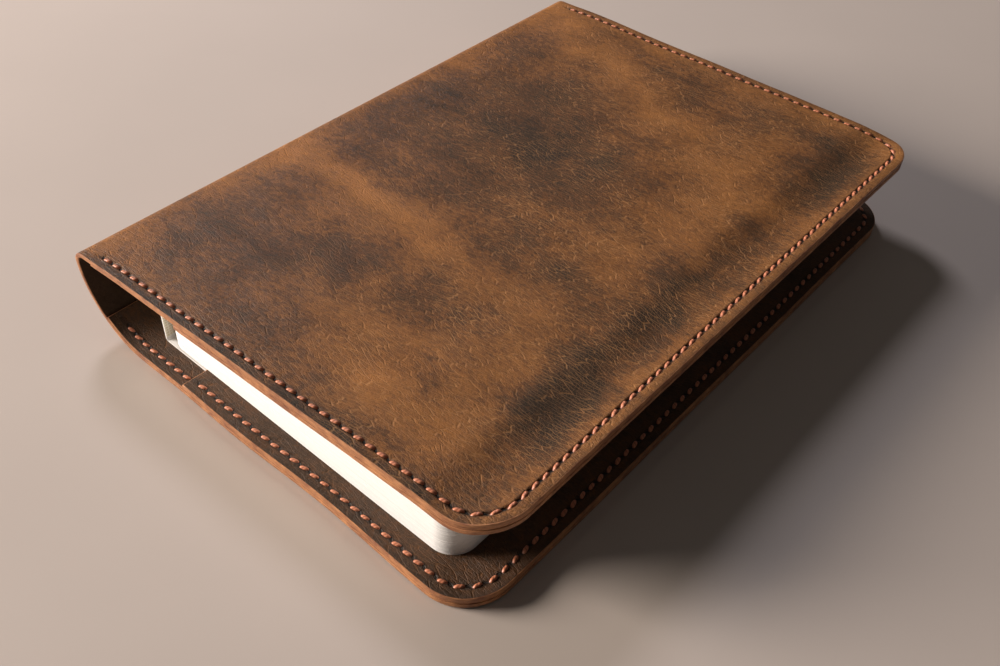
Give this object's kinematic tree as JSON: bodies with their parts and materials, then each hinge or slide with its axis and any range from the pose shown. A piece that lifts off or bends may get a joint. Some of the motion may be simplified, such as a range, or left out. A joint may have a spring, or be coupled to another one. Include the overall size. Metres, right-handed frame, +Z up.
{
  "type": "leather notebook cover",
  "caption": "Soft leather notebook cover with two stitched inner pockets that hold a card-covered notebook; it opens flat at two spine folds.",
  "frame": {"origin": "centre of the closed cover's footprint, on the surface that the back cover lies on", "axes": "+X from the spine to the fore-edge, +Y along the spine from tail to head, +Z up through the front cover"},
  "size_m": [0.159, 0.226, 0.0292],
  "materials": {
    "hide": "waxed pull-up hide, uneven dark and tan, raw cut edges",
    "lining": "smooth waxed leather",
    "thread": "waxed thread",
    "card": "smooth white card",
    "gauze": "glued gauze",
    "paper": "cut page edges"
  },
  "bodies": {
    "back_cover": {"back_panel": "hide", "back_lining": "lining", "back_pocket": "lining", "back_tail_stitches": "thread", "back_fore_stitches": "thread", "back_head_stitches": "thread", "notebook_back_cover": "card", "spine_gauze": "gauze", "section_2": "paper", "section_3": "paper", "section_4": "paper", "section_5": "paper", "section_6": "paper", "section_7": "paper", "section_8": "paper"},
    "spine": {"spine_panel": "hide"},
    "front_cover": {"front_panel": "hide", "front_lining": "lining", "front_pocket": "lining", "front_tail_stitches": "thread", "front_fore_stitches": "thread", "front_head_stitches": "thread"},
    "notebook_front": {"notebook_front_cover": "card"},
    "first_section": {"section_1": "paper"}
  },
  "joints": [
    {"name": "back_fold", "type": "hinge", "parent": "back_cover", "child": "spine", "pos_m": [-0.07227, 0, 0.00723], "axis": [0, -1, 0], "range_deg": [0, 90]},
    {"name": "front_fold", "type": "hinge", "parent": "spine", "child": "front_cover", "pos_m": [-0.07818, 0, 0.02788], "axis": [0, -1, 0], "range_deg": [0, 90]},
    {"name": "front_leaf_slide", "type": "slide", "parent": "front_cover", "child": "notebook_front", "axis": [-1, 0, 0], "range_m": [0, 0.01571]},
    {"name": "page_turn", "type": "hinge", "parent": "back_cover", "child": "first_section", "pos_m": [-0.0543, 0, 0.0251], "axis": [0, -1, 0], "range_deg": [0, 189]}
  ],
  "couplings": [
    {"joint": "front_fold", "follows": "back_fold", "ratio": 1},
    {"joint": "front_leaf_slide", "follows": "back_fold", "m_per_rad": 0.01},
    {"joint": "page_turn", "follows": "back_fold", "ratio": 2.1}
  ]
}
